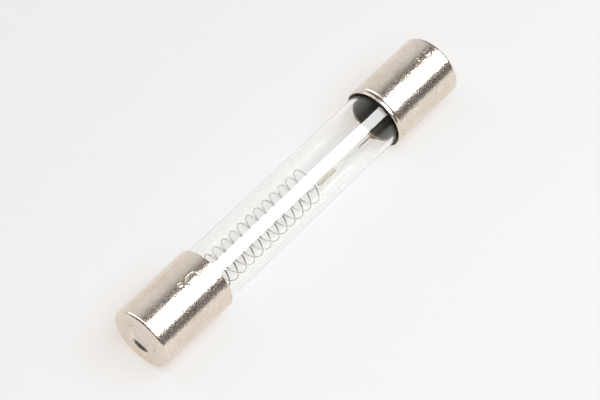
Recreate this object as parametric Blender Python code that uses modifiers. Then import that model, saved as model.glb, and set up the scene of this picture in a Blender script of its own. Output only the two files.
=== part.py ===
"""Cartridge fuse with a spring-loaded link: a glass tube between two metal end caps.

The fuse lies along X, with its middle at the origin. The tension spring is on the -X side and
the thin fuse wire on the +X side. Each turned piece is an outline swept about X. The spring, the
link tab, its solder and the wire lie off the axis, so they are placed in a cross-section frame
that is turned about X: its Y runs across the tab's width and its Z is normal to the tab's face.
"""

import math

import bmesh
import bpy
from mathutils import Vector

MM = 0.001

# Driving dimensions of the cartridge
FUSE_LENGTH = 40.0 * MM
CAP_RADIUS = 3.15 * MM
CAP_LENGTH = 8.5 * MM
CAP_WALL = 0.25 * MM
CAP_CORNER = 0.3 * MM
INSIDE_CORNER = 0.15 * MM
RIM_ROUND = 0.08 * MM
MOUTH_RADIUS = 3.03 * MM
FLARE_LENGTH = 0.6 * MM
DISH_RADIUS = 1.85 * MM
DISH_FLOOR_RADIUS = 1.2 * MM
DISH_DEPTH = 0.36 * MM
DISH_INSIDE_GROWTH = 0.14 * MM
TUBE_RADIUS = 2.82 * MM
TUBE_BORE_RADIUS = 2.4 * MM
TUBE_LENGTH = 38.6 * MM
TUBE_END_ROUND = 0.12 * MM

# Clearances between pieces that touch on the real object
FILM_GAP = 0.015 * MM
SOLDER_GAP = 0.03 * MM
SOCKET_GAP = 0.02 * MM

# Cement film between the tube and each cap
CEMENT_LENGTH = 7.0 * MM
CEMENT_RECESS = 0.15 * MM

# Solder pool in the bottom of each cap
POOL_CENTRE_DEPTH = 0.99 * MM
POOL_EDGE_DEPTH = 0.6 * MM
POOL_SOCKET_DEPTH = 0.7 * MM

# Cross-section frame of the pieces inside the tube
SECTION_TURN = math.radians(24.9)

# Tension spring, a left-hand helix
WIRE_RADIUS = 0.065 * MM
COIL_RADIUS = 1.705 * MM
COIL_PITCH = 1.095 * MM
COIL_CENTRE_Y = -0.187 * MM
COIL_CENTRE_Z = -0.046 * MM
COIL_X_AT_TOP = -3.82 * MM
FIRST_TURN = -13.2
LAST_TURN = 5.5
TAIL_BEND_RADIUS = 0.25 * MM
LEG_REACH = 0.9 * MM

# Link tab, its two solder beads and the fuse wire
TAB_LENGTH = 2.3 * MM
TAB_WIDTH = 0.5 * MM
TAB_THICKNESS = 0.12 * MM
TAB_START_X = 2.94 * MM
TAB_Y = -0.82 * MM
TAB_Z = -0.4 * MM
BEAD_LENGTH = 0.85 * MM
BEAD_WIDTH = 0.44 * MM
BEAD_HEIGHT = 0.38 * MM
BEAD_EDGE = 0.09 * MM
BEAD_MARGIN = 0.1 * MM
BEAD_SOCKET_DEPTH = 0.65 * MM
FUSE_WIRE_RADIUS = 0.05 * MM
FUSE_WIRE_START_Y = -0.92 * MM
FUSE_WIRE_END_Y = -1.05 * MM
FUSE_WIRE_STRAIGHT = 0.1 * MM

# Resolution
SEGMENTS = 48
POINTS_PER_TURN = 16
SOCKET_SIDES = 12
MERGE_DISTANCE = 0.0000001

# Derived positions
HALF_LENGTH = FUSE_LENGTH / 2
HALF_TUBE = TUBE_LENGTH / 2
CAP_BORE_RADIUS = CAP_RADIUS - CAP_WALL
TAB_BACK_Z = TAB_Z - TAB_THICKNESS / 2
LEG_Z = TAB_BACK_Z - SOLDER_GAP - SOCKET_GAP - WIRE_RADIUS - SOCKET_GAP
FUSE_WIRE_Z = TAB_BACK_Z - SOLDER_GAP - SOCKET_GAP - 2 * FUSE_WIRE_RADIUS
POOL_FACE_X = HALF_LENGTH - CAP_WALL - POOL_CENTRE_DEPTH - DISH_DEPTH
BEAD_Z = TAB_BACK_Z - SOLDER_GAP - BEAD_HEIGHT / 2
SPRING_BEAD_X = TAB_START_X + BEAD_MARGIN + BEAD_LENGTH / 2
RELEASE_BEAD_X = TAB_START_X + TAB_LENGTH - BEAD_MARGIN - BEAD_LENGTH / 2


def clear_scene():
    """Remove every object that the file holds."""
    for obj in list(bpy.data.objects):
        bpy.data.objects.remove(obj, do_unlink=True)


def new_collection(name):
    """Add a collection to the scene."""
    collection = bpy.data.collections.new(name)
    bpy.context.scene.collection.children.link(collection)
    return collection


def make_material(name, colour, roughness, metallic, alpha=1.0):
    """A Principled BSDF material of one colour."""
    material = bpy.data.materials.new(name)
    material.use_nodes = True
    shader = material.node_tree.nodes["Principled BSDF"]
    shader.inputs["Base Color"].default_value = (*colour, 1.0)
    shader.inputs["Roughness"].default_value = roughness
    shader.inputs["Metallic"].default_value = metallic
    shader.inputs["Alpha"].default_value = alpha
    return material


def add_object(name, data, collection, material=None, parent=None):
    """Link an object that holds the given data."""
    obj = bpy.data.objects.new(name, data)
    collection.objects.link(obj)
    obj.parent = parent
    if material is not None:
        data.materials.append(material)
    return obj


def arc(along, radius, bend, start, end, steps):
    """Points of an arc in an outline, each (along the axis, distance from the axis)."""
    points = []
    for step in range(steps + 1):
        angle = math.radians(start + (end - start) * step / steps)
        points.append((along + bend * math.cos(angle), radius + bend * math.sin(angle)))
    return points


def turned(name, outline, closed, collection, material, side=1):
    """Sweep an outline about X. A side of -1 turns the piece to face -X."""
    mesh = bpy.data.meshes.new(name)
    corners = [(radius, 0.0, along) for along, radius in outline]
    edges = [(index, index + 1) for index in range(len(outline) - 1)]
    if closed:
        edges.append((len(outline) - 1, 0))
    mesh.from_pydata(corners, edges, [])
    obj = add_object(name, mesh, collection, material)
    obj.rotation_euler = (0.0, side * math.pi / 2, 0.0)
    screw = obj.modifiers.new("turn", "SCREW")
    screw.axis = "Z"
    screw.angle = 2 * math.pi
    screw.steps = SEGMENTS
    screw.render_steps = SEGMENTS
    screw.use_merge_vertices = True
    screw.merge_threshold = MERGE_DISTANCE
    screw.use_smooth_shade = True
    return obj


def dish_outline(face, growth=0.0, steps=4):
    """The pressed dish at the middle of a cap's end, from the axis out to its edge.

    The growth widens the dish, for the surfaces on the inside of the metal.
    """
    points = [(face - DISH_DEPTH, 0.0)]
    for step in range(steps + 1):
        share = step / steps
        radius = DISH_FLOOR_RADIUS + (DISH_RADIUS - DISH_FLOOR_RADIUS) * share + growth
        sink = DISH_DEPTH * (1 + math.cos(math.pi * share)) / 2
        points.append((face - sink, radius))
    return points


def end_cap(name, side, collection, material):
    """A drawn metal cup with a dished end, a rounded corner and a mouth that flares at the rim."""
    rim = HALF_LENGTH - CAP_LENGTH
    inside_face = HALF_LENGTH - CAP_WALL
    outline = dish_outline(HALF_LENGTH)
    outline += arc(HALF_LENGTH - CAP_CORNER, CAP_RADIUS - CAP_CORNER, CAP_CORNER, 0, 90, 4)
    outline += arc(rim + RIM_ROUND, CAP_RADIUS - RIM_ROUND, RIM_ROUND, 90, 180, 3)
    outline.append((rim, MOUTH_RADIUS))
    outline.append((rim + FLARE_LENGTH, CAP_BORE_RADIUS))
    outline.append((inside_face - INSIDE_CORNER, CAP_BORE_RADIUS))
    outline.append((inside_face, CAP_BORE_RADIUS - INSIDE_CORNER))
    outline += reversed(dish_outline(inside_face, DISH_INSIDE_GROWTH))
    return turned(name, outline, False, collection, material, side)


def glass_tube(collection, material):
    """An open tube with fire-polished ends."""
    bend = TUBE_END_ROUND
    outer = TUBE_RADIUS - bend
    inner = TUBE_BORE_RADIUS + bend
    end = HALF_TUBE - bend
    outline = arc(end, outer, bend, 0, 90, 3)
    outline += arc(-end, outer, bend, 90, 180, 3)
    outline += arc(-end, inner, bend, 180, 270, 3)
    outline += arc(end, inner, bend, 270, 360, 3)
    return turned("glass_tube", outline, True, collection, material)


def cement_ring(name, side, collection, material):
    """The cement film that bonds a cap to the tube and fills most of the cap's flared mouth."""
    rim = HALF_LENGTH - CAP_LENGTH
    start = rim + CEMENT_RECESS
    end = start + CEMENT_LENGTH
    inner = TUBE_RADIUS + FILM_GAP
    outer = CAP_BORE_RADIUS - FILM_GAP
    widening = (MOUTH_RADIUS - CAP_BORE_RADIUS) * (1 - CEMENT_RECESS / FLARE_LENGTH)
    outline = [(end, inner), (end, outer), (rim + FLARE_LENGTH, outer)]
    outline += [(start, outer + widening), (start, inner)]
    return turned(name, outline, True, collection, material, side)


def cap_solder(name, side, socket, collection, material):
    """The solder pool inside a cap, crowned towards the middle, with a socket for one wire."""
    back = HALF_LENGTH - CAP_WALL - SOLDER_GAP
    edge = TUBE_BORE_RADIUS - SOLDER_GAP
    outline = dish_outline(back, DISH_INSIDE_GROWTH + SOLDER_GAP)
    outline.append((back, edge))
    crown_steps = 5
    for step in range(crown_steps):
        share = 1 - step / crown_steps
        depth = POOL_EDGE_DEPTH + (back - POOL_EDGE_DEPTH - POOL_FACE_X) * (1 - share * share)
        outline.append((back - depth, edge * share))
    outline.append((POOL_FACE_X, 0.0))
    pool = turned(name, outline, False, collection, material, side)
    cut(pool, socket)
    return pool


def socket_cutter(name, start, depth, radius, place, parent, collection):
    """A cylinder along X that cuts a socket from x = start over the given depth."""
    mesh = bpy.data.meshes.new(name)
    body = bmesh.new()
    bmesh.ops.create_cone(
        body, cap_ends=True, segments=SOCKET_SIDES, radius1=radius, radius2=radius, depth=depth
    )
    body.to_mesh(mesh)
    body.free()
    cutter = add_object(name, mesh, collection, parent=parent)
    cutter.location = (start + depth / 2, place[0], place[1])
    cutter.rotation_euler = (0.0, math.pi / 2, 0.0)
    cutter.hide_render = True
    cutter.display_type = "WIRE"
    return cutter


def cut(obj, cutter):
    """Take the cutter's volume out of the object."""
    boolean = obj.modifiers.new("socket", "BOOLEAN")
    boolean.operation = "DIFFERENCE"
    boolean.solver = "EXACT"
    boolean.object = cutter


def wire(name, points, radius, collection, material, parent):
    """A round wire with closed ends that follows the points."""
    curve = bpy.data.curves.new(name, "CURVE")
    curve.dimensions = "3D"
    curve.bevel_depth = radius
    curve.bevel_resolution = 2
    curve.use_fill_caps = True
    spline = curve.splines.new("POLY")
    spline.points.add(len(points) - 1)
    for spline_point, point in zip(spline.points, points):
        spline_point.co = (*point, 1.0)
        spline_point.radius = 1.0
    return add_object(name, curve, collection, material, parent)


def coil_point(turn):
    """A point of the spring's helix. A whole turn is at the side that the tab faces."""
    angle = 2 * math.pi * turn
    return Vector((
        COIL_X_AT_TOP + COIL_PITCH * turn,
        COIL_CENTRE_Y + COIL_RADIUS * math.sin(angle),
        COIL_CENTRE_Z + COIL_RADIUS * math.cos(angle),
    ))


def coil_tangent(turn):
    """The direction in which the helix runs across the axis at a turn."""
    angle = 2 * math.pi * turn
    return Vector((0.0, math.cos(angle), -math.sin(angle)))


def tail_bend_start():
    """Where the spring's tail ends its straight run and bends into the first coil."""
    along = Vector((TAIL_BEND_RADIUS, 0.0, 0.0))
    return coil_point(FIRST_TURN) - along - TAIL_BEND_RADIUS * coil_tangent(FIRST_TURN)


def spring_points():
    """The spring's centre line: a straight tail, the coils and a leg along the link tab."""
    bend_start = tail_bend_start()
    tail_end = POOL_FACE_X + POOL_SOCKET_DEPTH - SOCKET_GAP
    points = [Vector((-tail_end, bend_start.y, bend_start.z)), bend_start]
    bend_steps = 4
    for step in range(1, bend_steps):
        angle = math.pi / 2 * step / bend_steps
        sideways = TAIL_BEND_RADIUS * (1 - math.cos(angle)) * coil_tangent(FIRST_TURN)
        along = Vector((TAIL_BEND_RADIUS * math.sin(angle), 0.0, 0.0))
        points.append(bend_start + along + sideways)
    coil_steps = round((LAST_TURN - FIRST_TURN) * POINTS_PER_TURN)
    for step in range(coil_steps + 1):
        points.append(coil_point(FIRST_TURN + step / POINTS_PER_TURN))
    leg_start = Vector((TAB_START_X, TAB_Y, LEG_Z))
    leg_pull = Vector((-LEG_REACH, 0.0, 0.0))
    coil_end = points[-1]
    coil_pull = LEG_REACH * coil_tangent(LAST_TURN)
    leg_steps = 8
    for step in range(1, leg_steps + 1):
        share = step / leg_steps
        points.append(
            (1 - share) ** 3 * coil_end
            + 3 * (1 - share) ** 2 * share * (coil_end + coil_pull)
            + 3 * (1 - share) * share**2 * (leg_start + leg_pull)
            + share**3 * leg_start
        )
    leg_end = SPRING_BEAD_X - BEAD_LENGTH / 2 + BEAD_SOCKET_DEPTH - SOCKET_GAP
    points.append(Vector((leg_end, TAB_Y, LEG_Z)))
    return points


def block(name, centre, size, edge, collection, material, parent):
    """A rectangular block with rounded edges."""
    mesh = bpy.data.meshes.new(name)
    body = bmesh.new()
    bmesh.ops.create_cube(body, size=1.0)
    bmesh.ops.scale(body, vec=size, verts=body.verts)
    body.to_mesh(mesh)
    body.free()
    obj = add_object(name, mesh, collection, material, parent)
    obj.location = centre
    bevel = obj.modifiers.new("edges", "BEVEL")
    bevel.width = edge
    bevel.segments = 3
    return obj


def section_empty(name, collection):
    """An empty on the fuse's axis, turned into the cross-section frame."""
    empty = add_object(name, None, collection)
    empty.rotation_euler = (SECTION_TURN, 0.0, 0.0)
    empty.empty_display_size = CAP_RADIUS
    return empty


def build_shell(parts, cutters, section, metals):
    """The tube, the caps, their cement and the solder pools inside them."""
    glass_tube(parts, metals["glass"])
    tail = tail_bend_start()
    tail_radius = WIRE_RADIUS + SOCKET_GAP
    tail_start = -POOL_FACE_X - POOL_SOCKET_DEPTH
    reach = 2 * POOL_SOCKET_DEPTH
    sockets = {
        "spring_side": socket_cutter(
            "spring_tail_socket", tail_start, reach, tail_radius, (tail.y, tail.z), section, cutters
        ),
        "wire_side": socket_cutter(
            "fuse_wire_socket",
            POOL_FACE_X + POOL_SOCKET_DEPTH - reach,
            reach,
            FUSE_WIRE_RADIUS + SOCKET_GAP,
            (FUSE_WIRE_END_Y, FUSE_WIRE_Z),
            section,
            cutters,
        ),
    }
    for label, side in (("spring_side", -1), ("wire_side", 1)):
        end_cap("end_cap_" + label, side, parts, metals["nickel"])
        cement_ring("cement_ring_" + label, side, parts, metals["cement"])
        cap_solder("cap_solder_" + label, side, sockets[label], parts, metals["solder"])


def build_element(parts, cutters, section, slide, metals):
    """The spring, the link that it pulls and the fuse wire that holds the link."""
    wire("tension_spring", spring_points(), WIRE_RADIUS, parts, metals["steel"], section)
    tab_centre = (TAB_START_X + TAB_LENGTH / 2, TAB_Y, TAB_Z)
    tab_size = (TAB_LENGTH, TAB_WIDTH, TAB_THICKNESS)
    tab_edge = TAB_THICKNESS / 6
    block("link_tab", tab_centre, tab_size, tab_edge, parts, metals["tab"], slide)
    bead_size = (BEAD_LENGTH, BEAD_WIDTH, BEAD_HEIGHT)
    spring_bead = block(
        "spring_joint_solder",
        (SPRING_BEAD_X, TAB_Y, BEAD_Z),
        bead_size,
        BEAD_EDGE,
        parts,
        metals["solder"],
        slide,
    )
    leg_mouth = SPRING_BEAD_X - BEAD_LENGTH / 2 - BEAD_SOCKET_DEPTH
    leg_socket = socket_cutter(
        "spring_leg_socket",
        leg_mouth,
        2 * BEAD_SOCKET_DEPTH,
        WIRE_RADIUS + SOCKET_GAP,
        (TAB_Y, LEG_Z),
        slide,
        cutters,
    )
    cut(spring_bead, leg_socket)
    release_bead = block(
        "release_solder",
        (RELEASE_BEAD_X, TAB_Y, BEAD_Z),
        bead_size,
        BEAD_EDGE,
        parts,
        metals["solder"],
        slide,
    )
    wire_start = RELEASE_BEAD_X + BEAD_LENGTH / 2 - BEAD_SOCKET_DEPTH
    wire_socket = socket_cutter(
        "release_socket",
        wire_start,
        2 * BEAD_SOCKET_DEPTH,
        FUSE_WIRE_RADIUS + SOCKET_GAP,
        (FUSE_WIRE_START_Y, FUSE_WIRE_Z),
        slide,
        cutters,
    )
    cut(release_bead, wire_socket)
    wire_end = POOL_FACE_X + POOL_SOCKET_DEPTH - SOCKET_GAP
    slant_start = TAB_START_X + TAB_LENGTH
    slant_end = POOL_FACE_X - FUSE_WIRE_STRAIGHT
    wire_points = [
        (wire_start + SOCKET_GAP, FUSE_WIRE_START_Y, FUSE_WIRE_Z),
        (slant_start, FUSE_WIRE_START_Y, FUSE_WIRE_Z),
        (slant_end, FUSE_WIRE_END_Y, FUSE_WIRE_Z),
        (wire_end, FUSE_WIRE_END_Y, FUSE_WIRE_Z),
    ]
    wire("fuse_wire", wire_points, FUSE_WIRE_RADIUS, parts, metals["wire"], section)


def build():
    """Model the whole fuse."""
    clear_scene()
    parts = new_collection("cartridge_fuse")
    cutters = new_collection("cutters")
    metals = {
        "glass": make_material("clear_glass", (0.95, 0.96, 0.95), 0.05, 0.0, 0.35),
        "nickel": make_material("nickel_plate", (0.72, 0.69, 0.65), 0.15, 1.0),
        "cement": make_material("cement", (0.12, 0.1, 0.08), 0.8, 0.0),
        "solder": make_material("solder", (0.62, 0.61, 0.58), 0.3, 1.0),
        "steel": make_material("spring_steel", (0.6, 0.58, 0.54), 0.25, 1.0),
        "tab": make_material("tinned_tab", (0.5, 0.48, 0.38), 0.4, 1.0),
        "wire": make_material("fuse_wire", (0.6, 0.58, 0.55), 0.25, 1.0),
    }
    section = section_empty("cross_section", parts)
    slide = section_empty("link_slide", parts)
    build_shell(parts, cutters, section, metals)
    build_element(parts, cutters, section, slide, metals)


build()
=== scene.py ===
import math

import bmesh
import bpy
from mathutils import Matrix, Vector, noise


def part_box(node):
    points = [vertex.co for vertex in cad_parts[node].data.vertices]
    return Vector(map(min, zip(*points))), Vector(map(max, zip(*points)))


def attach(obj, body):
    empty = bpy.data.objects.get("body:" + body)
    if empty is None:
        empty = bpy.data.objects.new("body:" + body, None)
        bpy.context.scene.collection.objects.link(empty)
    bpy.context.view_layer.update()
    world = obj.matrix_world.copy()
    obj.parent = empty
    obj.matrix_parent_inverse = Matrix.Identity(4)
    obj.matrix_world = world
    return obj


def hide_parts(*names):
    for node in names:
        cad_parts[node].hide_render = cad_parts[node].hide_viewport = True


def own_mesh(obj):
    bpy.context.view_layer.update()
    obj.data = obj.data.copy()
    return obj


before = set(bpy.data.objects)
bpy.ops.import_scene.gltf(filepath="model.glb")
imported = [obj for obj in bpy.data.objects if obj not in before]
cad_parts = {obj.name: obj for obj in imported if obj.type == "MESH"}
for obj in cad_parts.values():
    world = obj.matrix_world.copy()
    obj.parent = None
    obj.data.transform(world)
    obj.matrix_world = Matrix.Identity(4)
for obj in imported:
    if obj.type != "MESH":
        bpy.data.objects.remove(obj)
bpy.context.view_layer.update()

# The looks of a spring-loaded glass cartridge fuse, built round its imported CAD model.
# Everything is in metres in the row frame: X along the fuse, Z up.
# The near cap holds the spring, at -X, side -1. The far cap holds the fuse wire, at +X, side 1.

MM = 0.001

# Driving dimensions, read from the frame
CAP_LOW, CAP_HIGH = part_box("end_cap_wire_side")
TUBE_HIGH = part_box("glass_tube")[1]
CEMENT_LOW, CEMENT_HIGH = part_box("cement_ring_wire_side")
POOL_LOW, POOL_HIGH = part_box("cap_solder_wire_side")
WIRE_LOW, WIRE_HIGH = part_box("fuse_wire")
HALF_LENGTH = CAP_HIGH.x
RIM_X = CAP_LOW.x
CAP_RADIUS = CAP_HIGH.z
FLOOR_Z = CAP_LOW.z
TUBE_RADIUS = TUBE_HIGH.z
TUBE_END_X = TUBE_HIGH.x

# Cross-section frame of the inner pieces: Y across the tab's width, Z normal to its face
SECTION_TURN = math.radians(24.9)
SECTION = Matrix.Rotation(SECTION_TURN, 4, "X")

# End caps. The groove's far wall is the share of its length that runs down from the barrel.
CAP_WALL = 0.25 * MM
CAP_CORNER = 0.3 * MM
CAP_BORE_RADIUS = CAP_RADIUS - CAP_WALL
LIP_ROUND = 0.1 * MM
LIP_LENGTH = 0.22 * MM
GROOVE_LENGTH = 0.4 * MM
GROOVE_FAR_WALL = 0.25
GROOVE_DEPTHS = {-1: 0.006 * MM, 1: 0.06 * MM}
MOUTH_RADIUS = 3.03 * MM
FLARE_LENGTH = 0.6 * MM
DISH_RADIUS = 1.85 * MM
DISH_FLOOR_RADIUS = 1.2 * MM
DISH_DEPTH = 0.36 * MM
DISH_INSIDE_GROWTH = 0.14 * MM
BARREL_STEP = 0.1 * MM
BARREL_WAVE = 0.003 * MM
BARREL_WAVE_SIZE = 2.2 * MM
FACE_DENT = 0.004 * MM
FACE_DENT_SIZE = 0.8 * MM
PLAIN_CAP_STEPS = 220

# Round punch marks on each cap, each (distance along the fuse, turn towards +Y, radius).
# The turn starts at the side of the barrel that faces the camera.
PUNCH_MARKS = {
    -1: ((13.75 * MM, math.radians(14.5), 0.46 * MM), (15.0 * MM, math.radians(19.5), 0.16 * MM)),
    1: ((18.75 * MM, math.radians(19.0), 0.30 * MM), (17.6 * MM, math.radians(20.5), 0.14 * MM)),
}
PUNCH_DEPTH = 0.025 * MM
PUNCH_WIDTH = 0.075 * MM
PUNCH_STRETCH = 1.3
PUNCH_STEP = 0.04 * MM
PUNCH_MARGIN = 3 * PUNCH_WIDTH
PUNCH_TURN_MARGIN = math.radians(12)

# Beads of cement squeezed out onto the tube at the far cap's mouth, seen through the glass.
# Their turn starts opposite the side that faces the camera.
SPECK_COUNT = 9
SPECK_START = math.pi - SECTION_TURN + math.radians(17)
SPECK_SPACING = math.radians(2.6)
SPECK_GAP = 0.12 * MM
SPECK_SCATTER = 0.2 * MM
SPECK_RADIUS = 0.075 * MM
SPECK_NOISE_STEP = 1.3

# Glass tube
TUBE_BORE_RADIUS = 2.4 * MM
TUBE_END_ROUND = 0.12 * MM

# Cement films and solder pools
FILM_GAP = 0.015 * MM
FILM_EDGE_WAVE = 0.06 * MM
FILM_EDGE_WAVES = 4.0
POOL_CROWN = 0.32 * MM
POOL_DISH_GAP = 0.03 * MM
POOL_LUMP = 0.12 * MM
POOL_LUMPS_PER_MM = 1.3
ROUND_STEPS = 192
POOL_STEPS = 96

# Shifts through the noise, so that the two caps differ and each detail has a pattern of its own
FACE_SHIFT = 3.0
BARREL_SHIFT = 7.0
FILM_SHIFT = 3.0
POOL_SHIFT = 5.0

# Tension spring, a left-hand helix in the cross-section frame
SPRING_WIRE_RADIUS = 0.065 * MM
COIL_RADIUS = 1.705 * MM
COIL_PITCH = 1.095 * MM
COIL_CENTRE_Y = -0.187 * MM
COIL_CENTRE_Z = -0.046 * MM
COIL_X_AT_TOP = -3.82 * MM
FIRST_TURN = -13.2
LAST_TURN = 5.5
STEPS_PER_TURN = 64
TAIL_BEND_RADIUS = 0.25 * MM
TAIL_LENGTH = 0.5 * MM
LEG_REACH = 0.9 * MM
LEG_END_LENGTH = 0.7 * MM

# Link tab, solder beads and fuse wire in the cross-section frame
TAB_LENGTH = 2.3 * MM
TAB_WIDTH = 0.5 * MM
TAB_THICKNESS = 0.12 * MM
TAB_EDGE_ROUND = TAB_THICKNESS / 5
TAB_START_X = 2.94 * MM
TAB_Y = -0.82 * MM
TAB_Z = -0.4 * MM
TAB_BACK_Z = TAB_Z - TAB_THICKNESS / 2
BEAD_LENGTH = 0.85 * MM
BEAD_WIDTH = 0.44 * MM
BEAD_HEIGHT = 0.38 * MM
BEAD_INSET = 0.1 * MM
BEAD_LUMP = 0.12
BEAD_LUMPS = 3.0
LEG_BEHIND_TAB = 0.135 * MM
LEG_Z = TAB_BACK_Z - LEG_BEHIND_TAB
FUSE_WIRE_RADIUS = 0.05 * MM
FUSE_WIRE_START_Y = -0.92 * MM
FUSE_WIRE_END_Y = -1.05 * MM
FUSE_WIRE_BEHIND_TAB = 0.15 * MM
FUSE_WIRE_Z = TAB_BACK_Z - FUSE_WIRE_BEHIND_TAB

# Colours, linear. The painted shade on the fuse wire, near the far cap, sets in over the range of X given
# below.
NICKEL = (0.86, 0.78, 0.695)
NICKEL_STAIN = (0.795, 0.71, 0.61)
NICKEL_PINK = (0.85, 0.73, 0.655)
NICKEL_HAZE = (0.735, 0.66, 0.585)
NICKEL_DISH = (0.845, 0.785, 0.745)
NICKEL_GRAIN = (0.865, 0.855, 0.835)
SOLDER_BRIGHT = (0.68, 0.66, 0.62)
SOLDER_DULL = (0.46, 0.45, 0.42)
STEEL_LIGHT = (0.72, 0.70, 0.66)
STEEL_DARK = (0.57, 0.55, 0.51)
TAB_TIN = (0.195, 0.183, 0.155)
TAB_FLUX = (0.13, 0.122, 0.10)
WIRE_PALE = ((0.27, 0.262, 0.25), (0.23, 0.222, 0.21))
# Painted shade: the fuse wire turns near black towards the far cap, where it would mirror the dark inside of
# the cap.
WIRE_SHADE = ((0.05, 0.045, 0.035), (0.02, 0.018, 0.014))
WIRE_SHADE_X = (8.4 * MM, 8.9 * MM)
# The cement's colours are partly its own dark brown and partly painted shade: near black, for the shade
# inside the caps.
CEMENT_AND_SHADE_DARK = (0.010, 0.008, 0.005)
CEMENT_AND_SHADE_BROWN = (0.028, 0.021, 0.013)
AMBER_THIN = (0.20, 0.11, 0.03)
AMBER_THICK = (0.05, 0.027, 0.01)
GLASS_CLEAR = (0.996, 0.993, 0.988)
GLASS_HAZE = (0.986, 0.982, 0.975)
GLASS_SHADOW = (0.94, 0.95, 0.94, 1.0)
# Floor: a dim bluish reflectance under a warm painted glow, so that its shadows tint warm as painted light
# bounced off the nickel. The glow is weaker towards +Y, a painted falloff of the studio light.
PAPER = ((0.065, 0.10, 0.135), (0.07, 0.105, 0.14))
PAPER_GLOW_NEAR = (0.705, 0.605, 0.505)
PAPER_GLOW_FAR = (0.655, 0.555, 0.46)

# Camera
CAMERA_AZIMUTH = math.radians(-49.35)
CAMERA_ELEVATION = math.radians(54.77)
CAMERA_DISTANCE = 221.4 * MM
CAMERA_TARGET = Vector((0.31, -0.72, -0.15)) * MM
CAMERA_LENS = 147.8
CAMERA_CLIP_START = 0.01

# Floor, whose painted glow falls over the range FLOOR_GLOW_Y
FLOOR_HALF_SIZE = 1.5
FLOOR_GAP = 0.02 * MM
FLOOR_GLOW_Y = (-0.03, 0.04)

# Lamps
STRIP_RADIANCE = 9.3
STRIP_DISTANCE = 0.45
STRIP_HALF_ANGLE = math.radians(21.5)
STRIP_TURN = SECTION_TURN + math.radians(1.5)
STRIP_X = (-0.28, 0.40)
KEY_RADIANCE = 3.3
KEY_DIRECTION = Vector((-0.22, 0.60, 0.77)).normalized()
KEY_DISTANCE = 0.8
KEY_SIZE = (0.34, 0.95)

# Surroundings: brightness by angle in degrees, from level at -Y over the top to level at +Y.
# They fall to SKY_DARK towards both ends; each pair is the X of a direction that is dark, then lit.
SKY_BANDS = (
    (0, 0.20), (15, 0.08), (37, 0.09), (95, 0.09), (108, 0.12),
    (119, 0.44), (127, 0.64), (140, 0.77), (160, 0.82), (180, 0.82),
)
SKY_DARK = (0.08, 0.08, 0.08)
SKY_DARK_X = ((-0.45, -0.2), (0.75, 0.55))

# Sockets of a Mix node that mixes colours
MIX_FACTOR = 0
MIX_FIRST = 6
MIX_SECOND = 7
MIX_RESULT = 2


def add_node(tree, kind, inputs=None, **settings):
    """Add a shader node. An input may be a value or another node's output."""
    node = tree.nodes.new("ShaderNode" + kind)
    for setting, value in settings.items():
        setattr(node, setting, value)
    for socket, value in (inputs or {}).items():
        if isinstance(value, bpy.types.NodeSocket):
            tree.links.new(value, node.inputs[socket])
        else:
            node.inputs[socket].default_value = value
    return node


def smooth_range(tree, value, low, high):
    """Map a value from the range low-high to 0-1, smoothly."""
    inputs = {"Value": value, "From Min": low, "From Max": high}
    return add_node(tree, "MapRange", inputs, interpolation_type="SMOOTHSTEP").outputs["Result"]


def mix_colours(tree, factor, first, second):
    """Mix two colours, each a tuple or an output."""
    inputs = {MIX_FACTOR: factor}
    for socket, colour in ((MIX_FIRST, first), (MIX_SECOND, second)):
        inputs[socket] = (*colour, 1.0) if isinstance(colour, tuple) else colour
    return add_node(tree, "Mix", inputs, data_type="RGBA").outputs[MIX_RESULT]


class Shader:
    """A node material with one Principled BSDF, and short calls for its nodes."""

    def __init__(self, name, **sockets):
        self.material = bpy.data.materials.new(name)
        self.material.use_nodes = True
        self.tree = self.material.node_tree
        self.bsdf = self.tree.nodes["Principled BSDF"]
        self.place = self.node("TexCoord").outputs["Object"]
        self.normal = None
        for socket, value in sockets.items():
            self.bsdf.inputs[socket.replace("_", " ")].default_value = value

    def node(self, kind, inputs=None, **settings):
        """Add a node to the material."""
        return add_node(self.tree, kind, inputs, **settings)

    def noise(self, size, stretch=(1, 1, 1), detail=3.0, rough=0.55):
        """Noise whose features have that size in metres, longer where stretch is larger."""
        scale = tuple(1 / (size * share) for share in stretch)
        spot = self.node("Mapping", {"Vector": self.place, "Scale": scale}).outputs["Vector"]
        inputs = {"Vector": spot, "Scale": 1.0, "Detail": detail, "Roughness": rough}
        return self.node("TexNoise", inputs).outputs["Fac"]

    def ramp(self, value, low, high):
        """Map a value from the range low-high to 0-1, smoothly."""
        return smooth_range(self.tree, value, low, high)

    def spread(self, value, low, high):
        """Map a value from 0-1 to the range low-high."""
        return self.node("MapRange", {"Value": value, "To Min": low, "To Max": high}).outputs["Result"]

    def mix(self, factor, first, second):
        """Mix two colours, each a tuple or an output."""
        return mix_colours(self.tree, factor, first, second)

    def vector(self, operation, first, second=(0.0, 0.0, 0.0)):
        """Add a vector node."""
        return self.node("VectorMath", {0: first, 1: second}, operation=operation)

    def bump(self, height, distance):
        """Add a bump whose height of 1 stands out by the distance in metres."""
        inputs = {"Height": height, "Distance": distance}
        if self.normal is not None:
            inputs["Normal"] = self.normal
        self.normal = self.node("Bump", inputs).outputs["Normal"]
        self.drive("Normal", self.normal)

    def drive(self, socket, output):
        """Feed an output into a socket of the Principled BSDF."""
        self.tree.links.new(output, self.bsdf.inputs[socket])


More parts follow.
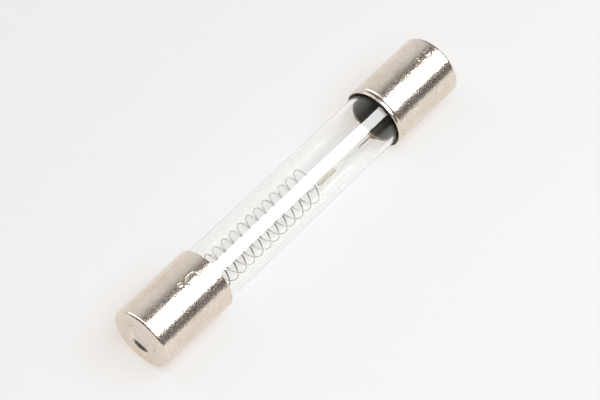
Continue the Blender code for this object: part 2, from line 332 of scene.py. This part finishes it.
def nickel():
    """Barrel-plated nickel over drawn brass: warm and grainy, with stains and fine scratches.
    Towards the axis, in the dish, it is less yellow."""
    shader = Shader("nickel_plate", Metallic=1.0)
    stain = shader.ramp(shader.noise(1.8 * MM, detail=4.0), 0.38, 0.66)
    pink = shader.ramp(shader.noise(1.1 * MM, detail=3.0), 0.5, 0.75)
    haze = shader.ramp(shader.noise(0.35 * MM, detail=4.0), 0.55, 0.8)
    grain = shader.ramp(shader.noise(0.17 * MM, detail=2.0, rough=0.7), 0.3, 0.7)
    across = shader.vector("MULTIPLY", shader.place, (0.0, 1.0, 1.0)).outputs["Vector"]
    from_axis = shader.vector("LENGTH", across).outputs["Value"]
    outside_dish = shader.ramp(from_axis, DISH_FLOOR_RADIUS, DISH_RADIUS)
    warm = shader.mix(stain, NICKEL, NICKEL_STAIN)
    warm = shader.mix(pink, warm, NICKEL_PINK)
    warm = shader.mix(haze, warm, NICKEL_HAZE)
    warm = shader.mix(outside_dish, NICKEL_DISH, warm)
    dim = shader.vector("MULTIPLY", warm, NICKEL_GRAIN).outputs["Vector"]
    shader.drive("Base Color", shader.mix(grain, dim, warm))
    shader.drive("Roughness", shader.spread(grain, 0.29, 0.15))
    shader.bump(shader.noise(0.5 * MM, detail=2.0, rough=0.5), 0.012 * MM)
    shader.bump(shader.noise(0.16 * MM, detail=0.0), 0.009 * MM)
    shader.bump(shader.noise(0.06 * MM, stretch=(12, 1, 1), detail=2.0), 0.0006 * MM)
    return shader.material


def solder():
    """Frosted solder with a dull skin."""
    shader = Shader("solder", Metallic=1.0)
    grain = shader.noise(0.12 * MM, detail=4.0)
    dull = shader.ramp(shader.noise(0.5 * MM), 0.4, 0.65)
    shader.drive("Base Color", shader.mix(dull, SOLDER_BRIGHT, SOLDER_DULL))
    shader.drive("Roughness", shader.spread(grain, 0.22, 0.5))
    shader.bump(grain, 0.008 * MM)
    return shader.material


def spring_steel():
    """Bright drawn spring wire with a faintly pitted surface."""
    shader = Shader("spring_steel", Metallic=1.0)
    tone = shader.ramp(shader.noise(0.6 * MM), 0.35, 0.7)
    shader.drive("Base Color", shader.mix(tone, STEEL_LIGHT, STEEL_DARK))
    shader.drive("Roughness", shader.spread(shader.noise(0.08 * MM), 0.06, 0.16))
    shader.bump(shader.noise(0.03 * MM), 0.0005 * MM)
    return shader.material


def tinned_tab():
    """Thin alloy strip, dulled by heat and flux to an olive grey."""
    shader = Shader("tinned_tab", Metallic=0.0, Specular_IOR_Level=0.35)
    flux = shader.ramp(shader.noise(0.25 * MM, detail=4.0), 0.4, 0.65)
    shader.drive("Base Color", shader.mix(flux, TAB_TIN, TAB_FLUX))
    shader.drive("Roughness", shader.spread(shader.noise(0.1 * MM), 0.5, 0.7))
    shader.bump(shader.noise(0.06 * MM, stretch=(6, 1, 1)), 0.002 * MM)
    return shader.material


def fuse_wire_metal():
    """Pale tinned wire with painted shade towards the far cap: near black there, where the wire would mirror
    the dark inside of the cap.
    """
    shader = Shader("fuse_wire", Metallic=0.0)
    tone = shader.noise(0.3 * MM)
    pale = shader.mix(tone, *WIRE_PALE)
    shaded = shader.mix(tone, *WIRE_SHADE)
    along = shader.node("SeparateXYZ", {"Vector": shader.place}).outputs["X"]
    shader.drive("Base Color", shader.mix(shader.ramp(along, *WIRE_SHADE_X), pale, shaded))
    shader.drive("Roughness", shader.spread(tone, 0.55, 0.7))
    return shader.material


def cement():
    """Dark brown resin cement with a grainy skin, made near black so that it also carries painted shade
    inside the caps.
    """
    shader = Shader("cement", Roughness=0.55)
    patch = shader.ramp(shader.noise(0.3 * MM, detail=4.0), 0.35, 0.7)
    shader.drive("Base Color", shader.mix(patch, CEMENT_AND_SHADE_DARK, CEMENT_AND_SHADE_BROWN))
    shader.bump(shader.noise(0.1 * MM, detail=4.0), 0.015 * MM)
    return shader.material


def amber_cement():
    """Glossy beads of cement, amber where it is thin."""
    shader = Shader("amber_cement", Coat_Weight=0.6)
    depth = shader.noise(0.08 * MM)
    shader.drive("Base Color", shader.mix(depth, AMBER_THIN, AMBER_THICK))
    shader.drive("Roughness", shader.spread(depth, 0.2, 0.4))
    return shader.material


def clear_glass():
    """Clear drawn glass with a faint haze. Shadow rays pass, so that light gets inside."""
    shader = Shader("clear_glass", Roughness=0.0, IOR=1.5, Transmission_Weight=1.0)
    haze = shader.ramp(shader.noise(0.8 * MM, detail=4.0), 0.3, 0.8)
    shader.drive("Base Color", shader.mix(haze, GLASS_CLEAR, GLASS_HAZE))
    is_shadow = shader.node("LightPath").outputs["Is Shadow Ray"]
    passing = shader.node("BsdfTransparent", {"Color": GLASS_SHADOW}).outputs[0]
    blend = shader.node("MixShader", {0: is_shadow, 1: shader.bsdf.outputs[0], 2: passing})
    shader.tree.links.new(blend.outputs[0], shader.tree.nodes["Material Output"].inputs["Surface"])
    return shader.material


def floor_paper():
    """Matt pale sheet with a painted glow, so that shadows on it are faint and warm."""
    shader = Shader("floor_paper", Roughness=0.9, Emission_Strength=1.0)
    shader.drive("Base Color", shader.mix(shader.noise(2.0 * MM, detail=4.0), *PAPER))
    # The glow is painted light, weaker towards +Y.
    across = shader.node("SeparateXYZ", {"Vector": shader.place}).outputs["Y"]
    far = shader.ramp(across, *FLOOR_GLOW_Y)
    shader.drive("Emission Color", shader.mix(far, PAPER_GLOW_NEAR, PAPER_GLOW_FAR))
    return shader.material


def finish_mesh(name, shell, sharp_angle=35):
    """Turn a bmesh into a mesh, shaded smooth, with sharp edges over the angle in degrees."""
    mesh = bpy.data.meshes.new(name)
    shell.to_mesh(mesh)
    shell.free()
    mesh.shade_smooth()
    mesh.set_sharp_from_angle(angle=math.radians(sharp_angle))
    return mesh


def add_piece(name, mesh, material, body, nodes=()):
    """Link a piece, give it its material and let it ride on its body."""
    obj = bpy.data.objects.new(name, mesh)
    bpy.context.scene.collection.objects.link(obj)
    mesh.materials.append(material)
    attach(obj, body)
    if nodes:
        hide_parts(*nodes)
    return obj


def around(x, radius, angle):
    """The point at that distance from the X axis. The angle starts at +Z and turns towards +Y."""
    return Vector((x, radius * math.sin(angle), radius * math.cos(angle)))


def even_angles(steps):
    """Angles of evenly spaced steps once round."""
    return [2 * math.pi * index / steps for index in range(steps)]


def arc(x, radius, bend, start, end, steps):
    """Points of an arc in an outline, each (x, distance from the axis)."""
    points = []
    for step in range(steps + 1):
        angle = math.radians(start + (end - start) * step / steps)
        points.append((x + bend * math.cos(angle), radius + bend * math.sin(angle)))
    return points


def between(first, last, steps):
    """Evenly spaced points on a straight part of an outline, without its two ends."""
    points = []
    for step in range(1, steps):
        share = step / steps
        points.append(tuple(a + (b - a) * share for a, b in zip(first, last)))
    return points


def lathe(name, outline, closed, side, angles, shape=None):
    """Sweep an (x, radius) outline about X. shape(x, radius, angle) may move each point.
    Side -1 mirrors the outline to -X."""
    shell = bmesh.new()
    rings = []
    for x, radius in outline:
        ring = []
        for angle in angles if radius > 0 else angles[:1]:
            new_x, new_radius = shape(x, radius, angle) if shape else (x, radius)
            ring.append(shell.verts.new(around(side * new_x, new_radius, angle)))
        rings.append(ring)
    pairs = list(zip(rings, rings[1:]))
    if closed:
        pairs.append((rings[-1], rings[0]))
    for first, second in pairs:
        for index in range(len(angles)):
            after = (index + 1) % len(angles)
            corners = [first[index % len(first)], first[after % len(first)]]
            corners += [second[after % len(second)], second[index % len(second)]]
            shell.faces.new(list(dict.fromkeys(corners)))
    bmesh.ops.recalc_face_normals(shell, faces=shell.faces)
    return finish_mesh(name, shell)


def wire_stations(points, radius, dome_steps=4):
    """Stations along a wire with domed ends, each (centre, direction, radius)."""
    last = len(points) - 1
    stations = []
    for index, point in enumerate(points):
        ahead = points[min(index + 1, last)] - points[max(index - 1, 0)]
        stations.append((point, ahead.normalized(), radius))
    first_along = stations[0][1]
    last_along = stations[-1][1]
    for step in range(1, dome_steps):
        angle = math.pi / 2 * step / dome_steps
        offset = radius * math.sin(angle)
        reach = radius * math.cos(angle)
        stations.insert(0, (points[0] - first_along * offset, first_along, reach))
        stations.append((points[-1] + last_along * offset, last_along, reach))
    return stations


def wire_mesh(name, points, radius, sides=20):
    """A round wire with domed ends along the points."""
    shell = bmesh.new()
    rings = []
    normal = None
    for centre, along, reach in wire_stations(points, radius):
        if normal is None:
            normal = along.orthogonal().normalized()
        normal = (normal - along * normal.dot(along)).normalized()
        across = along.cross(normal)
        ring = []
        for angle in even_angles(sides):
            spot = centre + reach * (math.cos(angle) * normal + math.sin(angle) * across)
            ring.append(shell.verts.new(spot))
        rings.append(ring)
    for first, second in zip(rings, rings[1:]):
        for side in range(sides):
            after = (side + 1) % sides
            shell.faces.new((first[side], first[after], second[after], second[side]))
    shell.faces.new(rings[0])
    shell.faces.new(rings[-1])
    bmesh.ops.recalc_face_normals(shell, faces=shell.faces)
    return finish_mesh(name, shell, sharp_angle=60)


def dish_outline(face, growth, steps=10):
    """The pressed dish at the middle of a cap's end, from its floor's edge out to the flat ring."""
    points = []
    for step in range(steps + 1):
        share = step / steps
        radius = DISH_FLOOR_RADIUS + (DISH_RADIUS - DISH_FLOOR_RADIUS) * share + growth
        sink = DISH_DEPTH * (1 + math.cos(math.pi * share)) / 2
        points.append((face - sink, radius))
    return points


def barrel_places(start, end, marks):
    """Distances along a barrel from start down to end, closer together at the punch marks."""
    places = []
    x = start - BARREL_STEP
    while x > end:
        places.append(x)
        at_mark = any(abs(x - mark_x) < PUNCH_STRETCH * radius + PUNCH_MARGIN for mark_x, _, radius in marks)
        x -= PUNCH_STEP if at_mark else BARREL_STEP
    return places + [end]


def groove_outline(start, depth, steps=12):
    """The rolled groove between a cap's barrel and its lip, steeper on the barrel's side."""
    points = []
    for step in range(1, steps + 1):
        share = step / steps
        if share < GROOVE_FAR_WALL:
            fall = share / GROOVE_FAR_WALL
        else:
            fall = (1 - share) / (1 - GROOVE_FAR_WALL)
        sink = depth * (1 - math.cos(math.pi * fall)) / 2
        points.append((start - GROOVE_LENGTH * share, CAP_RADIUS - sink))
    return points


def lip_outline(steps=10):
    """The rounded lip, from the outside of the cap in to the edge of its mouth."""
    points = []
    for step in range(steps + 1):
        angle = math.pi / 2 * step / steps
        x = RIM_X + LIP_ROUND * (1 - math.sin(angle))
        points.append((x, MOUTH_RADIUS + (CAP_RADIUS - MOUTH_RADIUS) * math.cos(angle)))
    return points


def cap_outline(marks, groove_depth):
    """Outline of an end cap: dish, end ring, corner, barrel, groove, lip, flared bore and inner face."""
    dish_floor = HALF_LENGTH - DISH_DEPTH
    corner_x = HALF_LENGTH - CAP_CORNER
    corner_radius = CAP_RADIUS - CAP_CORNER
    groove_x = RIM_X + LIP_LENGTH + GROOVE_LENGTH
    flare_end = (RIM_X + FLARE_LENGTH, CAP_BORE_RADIUS)
    inside = HALF_LENGTH - CAP_WALL
    bore_end = (inside, CAP_BORE_RADIUS)
    outline = [(dish_floor, 0.0)]
    outline += between((dish_floor, 0.0), (dish_floor, DISH_FLOOR_RADIUS), steps=4)
    outline += dish_outline(HALF_LENGTH, 0.0)
    outline += between((HALF_LENGTH, DISH_RADIUS), (HALF_LENGTH, corner_radius), steps=8)
    outline += arc(corner_x, corner_radius, CAP_CORNER, 0, 90, steps=10)
    outline += [(x, CAP_RADIUS) for x in barrel_places(corner_x, groove_x, marks)]
    outline += groove_outline(groove_x, groove_depth)
    outline += lip_outline()
    outline += between((RIM_X, MOUTH_RADIUS), flare_end, steps=5) + [flare_end]
    outline += between(flare_end, bore_end, steps=12) + [bore_end]
    outline += reversed(dish_outline(inside, DISH_INSIDE_GROWTH))
    outline.append((inside - DISH_DEPTH, 0.0))
    return outline


def cap_angles(marks):
    """Angles round a cap, closer together where the punch marks are."""
    turns = [turn for _, turn, _ in marks]
    start = -SECTION_TURN + min(turns) - PUNCH_TURN_MARGIN
    end = -SECTION_TURN + max(turns) + PUNCH_TURN_MARGIN
    fine_steps = round((end - start) * CAP_RADIUS / PUNCH_STEP)
    angles = [start + (end - start) * step / fine_steps for step in range(fine_steps)]
    rest = 2 * math.pi - (end - start)
    angles += [end + rest * step / PLAIN_CAP_STEPS for step in range(PLAIN_CAP_STEPS)]
    return angles


def punch_depth(x, angle, marks):
    """How far the round punch marks sink the barrel at a place."""
    depth = 0.0
    for mark_x, turn, radius in marks:
        across = CAP_RADIUS * math.remainder(angle + SECTION_TURN - turn, 2 * math.pi)
        distance = math.hypot((x - mark_x) / PUNCH_STRETCH, across)
        depth = max(depth, PUNCH_DEPTH * math.exp(-(((distance - radius) / PUNCH_WIDTH) ** 2)))
    return depth


def end_cap(label, side, material):
    """A drawn cap with slight waviness and round punch marks."""
    marks = PUNCH_MARKS[side]
    face_start = HALF_LENGTH - 1.5 * DISH_DEPTH
    barrel_end = HALF_LENGTH - CAP_CORNER
    face_shift = Vector((side * FACE_SHIFT, 0, 0))
    barrel_shift = Vector((side * BARREL_SHIFT, 0, 0))

    def shape(x, radius, angle):
        spot = around(x, radius, angle)
        if x > face_start and radius < CAP_RADIUS - CAP_CORNER:
            dent = noise.noise(spot / FACE_DENT_SIZE + face_shift)
            return x - FACE_DENT * (1 + dent), radius
        if x < RIM_X + LIP_LENGTH or x > barrel_end or radius < CAP_BORE_RADIUS:
            return x, radius
        wave = (1 + noise.noise(spot / BARREL_WAVE_SIZE + barrel_shift)) / 2
        return x, radius - BARREL_WAVE * wave - punch_depth(x, angle, marks)

    outline = cap_outline(marks, GROOVE_DEPTHS[side])
    mesh = lathe("end_cap_" + label, outline, False, side, cap_angles(marks), shape)
    add_piece("fine_end_cap_" + label, mesh, material, "cartridge", ["end_cap_" + label])


def cement_ring(label, side, material):
    """The cement film in a cap, with an uneven edge in the cap's flared mouth."""
    start = CEMENT_LOW.x
    end = CEMENT_HIGH.x
    inner = TUBE_RADIUS + FILM_GAP
    outer = CAP_BORE_RADIUS - FILM_GAP
    flare_end = RIM_X + FLARE_LENGTH
    front_outer = outer + (MOUTH_RADIUS - CAP_BORE_RADIUS) * (flare_end - start) / FLARE_LENGTH
    outline = [(end, inner), (end, outer)]
    outline += between((end, outer), (flare_end, outer), steps=30)
    outline += [(flare_end, outer), (start, front_outer), (start, inner)]
    outline += between((start, inner), (end, inner), steps=30)

    def shape(x, radius, angle):
        if x > start:
            return x, radius
        spot = around(side * FILM_SHIFT, FILM_EDGE_WAVES, angle)
        return x + FILM_EDGE_WAVE * abs(noise.noise(spot)), radius

    mesh = lathe("cement_ring_" + label, outline, True, side, even_angles(ROUND_STEPS), shape)
    add_piece("fine_cement_ring_" + label, mesh, material, "cartridge", ["cement_ring_" + label])


def cap_solder(label, side, material):
    """The solder pool in a cap, with a lumpy crown."""
    back = POOL_HIGH.x
    front = POOL_LOW.x
    edge = POOL_HIGH.z
    past_crown = front + 1.01 * POOL_CROWN
    steps = 24
    outline = [(back - DISH_DEPTH, 0.0)] + dish_outline(back, DISH_INSIDE_GROWTH + POOL_DISH_GAP)
    outline.append((back, edge))
    for step in range(steps + 1):
        share = 1 - step / steps
        outline.append((front + POOL_CROWN * share**2, edge * share))

    def shape(x, radius, angle):
        if x > past_crown:
            return x, radius
        spot = POOL_LUMPS_PER_MM * around(side * POOL_SHIFT, radius / MM, angle)
        return x + POOL_LUMP * abs(noise.noise(spot)), radius

    mesh = lathe("cap_solder_" + label, outline, False, side, even_angles(POOL_STEPS), shape)
    add_piece("fine_cap_solder_" + label, mesh, material, "cartridge", ["cap_solder_" + label])


def cement_specks(material):
    """A short row of uneven cement beads on the tube's outside."""
    shell = bmesh.new()
    for index in range(SPECK_COUNT):
        scatter = noise.noise(Vector((index * SPECK_NOISE_STEP, 0.5, 0.0)))
        x = RIM_X - SPECK_GAP - SPECK_SCATTER * abs(scatter)
        spot = around(x, TUBE_RADIUS, SPECK_START + SPECK_SPACING * index)
        radius = SPECK_RADIUS * (1 + scatter)
        bmesh.ops.create_icosphere(shell, subdivisions=3, radius=radius, matrix=Matrix.Translation(spot))
    mesh = finish_mesh("cement_specks", shell)
    add_piece("fine_cement_specks", mesh, material, "cartridge")


def glass_tube(material):
    """The open tube with fire-polished ends."""
    bend = TUBE_END_ROUND
    outer = TUBE_RADIUS - bend
    inner = TUBE_BORE_RADIUS + bend
    end = TUBE_END_X - bend
    outline = arc(end, outer, bend, 0, 90, steps=5)
    outline += between((end, TUBE_RADIUS), (-end, TUBE_RADIUS), steps=40)
    outline += arc(-end, outer, bend, 90, 180, steps=5)
    outline += arc(-end, inner, bend, 180, 270, steps=5)
    outline += between((-end, TUBE_BORE_RADIUS), (end, TUBE_BORE_RADIUS), steps=40)
    outline += arc(end, inner, bend, 270, 360, steps=5)
    mesh = lathe("glass_tube", outline, True, 1, even_angles(ROUND_STEPS))
    add_piece("fine_glass_tube", mesh, material, "cartridge", ["glass_tube"])


def coil_point(turn):
    """A point of the spring's helix in the cross-section frame."""
    centre = Vector((COIL_X_AT_TOP + COIL_PITCH * turn, COIL_CENTRE_Y, COIL_CENTRE_Z))
    return centre + around(0.0, COIL_RADIUS, 2 * math.pi * turn)


def coil_tangent(turn):
    """The direction in which the helix runs across the axis at a turn."""
    return around(0.0, 1.0, 2 * math.pi * turn + math.pi / 2)


def leg_points():
    """The spring's leg, a smooth curve from the end of its coils to the tab's solder."""
    coil_end = coil_point(LAST_TURN)
    coil_pull = coil_end + LEG_REACH * coil_tangent(LAST_TURN)
    leg_start = Vector((TAB_START_X, TAB_Y, LEG_Z))
    leg_pull = leg_start - Vector((LEG_REACH, 0.0, 0.0))
    steps = 24
    points = []
    for step in range(steps + 1):
        share = step / steps
        points.append(
            (1 - share) ** 3 * coil_end
            + 3 * (1 - share) ** 2 * share * coil_pull
            + 3 * (1 - share) * share**2 * leg_pull
            + share**3 * leg_start
        )
    points.append(leg_start + Vector((LEG_END_LENGTH, 0.0, 0.0)))
    return points


def tail_points():
    """The spring's tail, from the solder in the cap to its first coil."""
    bend = TAIL_BEND_RADIUS
    sideways = coil_tangent(FIRST_TURN)
    start = coil_point(FIRST_TURN) - Vector((bend, 0.0, 0.0)) - bend * sideways
    points = [start - Vector((TAIL_LENGTH, 0.0, 0.0)), start]
    steps = 6
    for step in range(1, steps):
        angle = math.pi / 2 * step / steps
        along = Vector((bend * math.sin(angle), 0.0, 0.0))
        points.append(start + along + bend * (1 - math.cos(angle)) * sideways)
    return points


def tension_spring(material):
    """The coils ride on the cartridge with a mesh of their own, and the leg moves with the link."""
    steps = round((LAST_TURN - FIRST_TURN) * STEPS_PER_TURN)
    coils = tail_points() + [coil_point(FIRST_TURN + step / STEPS_PER_TURN) for step in range(steps + 1)]
    coils = [SECTION @ point for point in coils]
    legs = [SECTION @ point for point in leg_points()]
    mesh = wire_mesh("tension_spring", coils, SPRING_WIRE_RADIUS)
    coil = add_piece("fine_spring_coils", mesh, material, "cartridge", ["tension_spring"])
    mesh = wire_mesh("spring_leg", legs, SPRING_WIRE_RADIUS)
    add_piece("fine_spring_leg", mesh, material, "release_link")
    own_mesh(coil)


def link_tab(material):
    """A thin tinned strip with rounded edges."""
    shell = bmesh.new()
    bmesh.ops.create_cube(shell, size=1.0)
    bmesh.ops.scale(shell, vec=(TAB_LENGTH, TAB_WIDTH, TAB_THICKNESS), verts=shell.verts)
    bmesh.ops.bevel(
        shell, geom=shell.edges[:], offset=TAB_EDGE_ROUND, segments=3, affect="EDGES", profile=0.5
    )
    centre = Vector((TAB_START_X + TAB_LENGTH / 2, TAB_Y, TAB_Z))
    bmesh.ops.transform(shell, matrix=SECTION @ Matrix.Translation(centre), verts=shell.verts)
    mesh = finish_mesh("link_tab", shell)
    add_piece("fine_link_tab", mesh, material, "release_link", ["link_tab"])


def solder_bead(node, centre_x, material):
    """A smooth bead of solder on the back of the tab."""
    shell = bmesh.new()
    bmesh.ops.create_uvsphere(shell, u_segments=48, v_segments=32, radius=0.5)
    centre = Vector((centre_x, TAB_Y, TAB_BACK_Z - BEAD_HEIGHT / 2))
    shift = Vector((centre_x / MM, 0, 0))
    for vertex in shell.verts:
        spot = vertex.co * (1 + BEAD_LUMP * noise.noise(vertex.co * BEAD_LUMPS + shift))
        vertex.co = centre + Vector((spot.x * BEAD_LENGTH, spot.y * BEAD_WIDTH, spot.z * BEAD_HEIGHT))
    bmesh.ops.transform(shell, matrix=SECTION, verts=shell.verts)
    mesh = finish_mesh(node, shell)
    add_piece("fine_" + node, mesh, material, "release_link", [node])


def fuse_wire(material):
    """The thin wire from the release solder to the far cap. Only its soldered ends lie along X."""
    start = WIRE_LOW.x + FUSE_WIRE_RADIUS
    end = WIRE_HIGH.x - FUSE_WIRE_RADIUS
    slant_start = TAB_START_X + TAB_LENGTH
    slant_end = POOL_LOW.x
    steps = 60
    points = []
    for step in range(steps + 1):
        x = start + (end - start) * step / steps
        share = min(max((x - slant_start) / (slant_end - slant_start), 0.0), 1.0)
        y = FUSE_WIRE_START_Y + (FUSE_WIRE_END_Y - FUSE_WIRE_START_Y) * share
        points.append(SECTION @ Vector((x, y, FUSE_WIRE_Z)))
    mesh = wire_mesh("fuse_wire", points, FUSE_WIRE_RADIUS, sides=16)
    add_piece("fine_fuse_wire", mesh, material, "cartridge", ["fuse_wire"])


def floor():
    """The pale sheet that the fuse lies on."""
    shell = bmesh.new()
    bmesh.ops.create_grid(shell, x_segments=1, y_segments=1, size=FLOOR_HALF_SIZE)
    mesh = finish_mesh("floor", shell)
    mesh.materials.append(floor_paper())
    obj = bpy.data.objects.new("floor", mesh)
    bpy.context.scene.collection.objects.link(obj)
    obj.location.z = FLOOR_Z - FLOOR_GAP


def area_light(name, place, aim, size, radiance):
    """A rectangular lamp of the given radiance, its X side level and along the row's X."""
    lamp = bpy.data.lights.new(name, "AREA")
    lamp.shape = "RECTANGLE"
    lamp.size, lamp.size_y = size
    lamp.energy = radiance * math.pi * size[0] * size[1]
    obj = bpy.data.objects.new(name, lamp)
    bpy.context.scene.collection.objects.link(obj)
    back = (place - aim).normalized()
    level = Vector((1.0, 0.0, 0.0))
    level = (level - back * level.dot(back)).normalized()
    turn = Matrix((level, back.cross(level), back)).transposed().to_4x4()
    obj.matrix_world = Matrix.Translation(place) @ turn


def lamps():
    """A long strip softbox over the fuse, on the camera's side, and a key light behind it."""
    aim = Vector((sum(STRIP_X) / 2, 0.0, 0.0))
    place = aim + around(0.0, STRIP_DISTANCE, -STRIP_TURN)
    size = (STRIP_X[1] - STRIP_X[0], 2 * STRIP_DISTANCE * math.tan(STRIP_HALF_ANGLE))
    area_light("strip_softbox", place, aim, size, STRIP_RADIANCE)
    area_light("key_light", KEY_DIRECTION * KEY_DISTANCE, Vector(), KEY_SIZE, KEY_RADIANCE)


def sky():
    """Surroundings in bands round the X axis: a dark room at -Y, a white backdrop at +Y."""
    world = bpy.data.worlds.new("studio")
    bpy.context.scene.world = world
    world.use_nodes = True
    tree = world.node_tree
    direction = add_node(tree, "TexCoord").outputs["Generated"]
    split = add_node(tree, "SeparateXYZ", {"Vector": direction}).outputs
    towards_camera = add_node(tree, "Math", {0: split["Y"], 1: -1.0}, operation="MULTIPLY").outputs[0]
    angle = add_node(tree, "Math", {0: split["Z"], 1: towards_camera}, operation="ARCTAN2").outputs[0]
    share = add_node(tree, "Math", {0: angle, 1: math.pi}, operation="DIVIDE").outputs[0]
    bands = add_node(tree, "ValToRGB", {"Fac": share})
    bands.color_ramp.interpolation = "B_SPLINE"
    elements = bands.color_ramp.elements
    while len(elements) < len(SKY_BANDS):
        elements.new(0.5)
    for element, (degrees, value) in zip(elements, SKY_BANDS):
        element.position = degrees / 180
        element.color = (value, value, value, 1.0)
    colour = bands.outputs["Color"]
    for dark_x, lit_x in SKY_DARK_X:
        colour = mix_colours(tree, smooth_range(tree, split["X"], dark_x, lit_x), SKY_DARK, colour)
    tree.links.new(colour, tree.nodes["Background"].inputs["Color"])


def camera():
    """The camera at the photographed angle."""
    data = bpy.data.cameras.new("camera")
    data.lens = CAMERA_LENS
    data.clip_start = CAMERA_CLIP_START
    obj = bpy.data.objects.new("camera", data)
    bpy.context.scene.collection.objects.link(obj)
    level = math.cos(CAMERA_ELEVATION)
    back = Vector((
        math.sin(CAMERA_AZIMUTH) * level,
        -math.cos(CAMERA_AZIMUTH) * level,
        math.sin(CAMERA_ELEVATION),
    ))
    obj.location = CAMERA_TARGET + back * CAMERA_DISTANCE
    obj.rotation_euler = back.to_track_quat("Z", "Y").to_euler()
    bpy.context.scene.camera = obj


def main():
    """Build the fuse and its studio."""
    plate = nickel()
    resin = cement()
    tin = solder()
    for label, side in (("spring_side", -1), ("wire_side", 1)):
        end_cap(label, side, plate)
        cement_ring(label, side, resin)
        cap_solder(label, side, tin)
    cement_specks(amber_cement())
    glass_tube(clear_glass())
    tension_spring(spring_steel())
    link_tab(tinned_tab())
    bead_middle = BEAD_INSET + BEAD_LENGTH / 2
    solder_bead("spring_joint_solder", TAB_START_X + bead_middle, tin)
    solder_bead("release_solder", TAB_START_X + TAB_LENGTH - bead_middle, tin)
    fuse_wire(fuse_wire_metal())
    floor()
    lamps()
    sky()
    camera()
    bpy.context.scene.view_settings.view_transform = "Standard"


main()
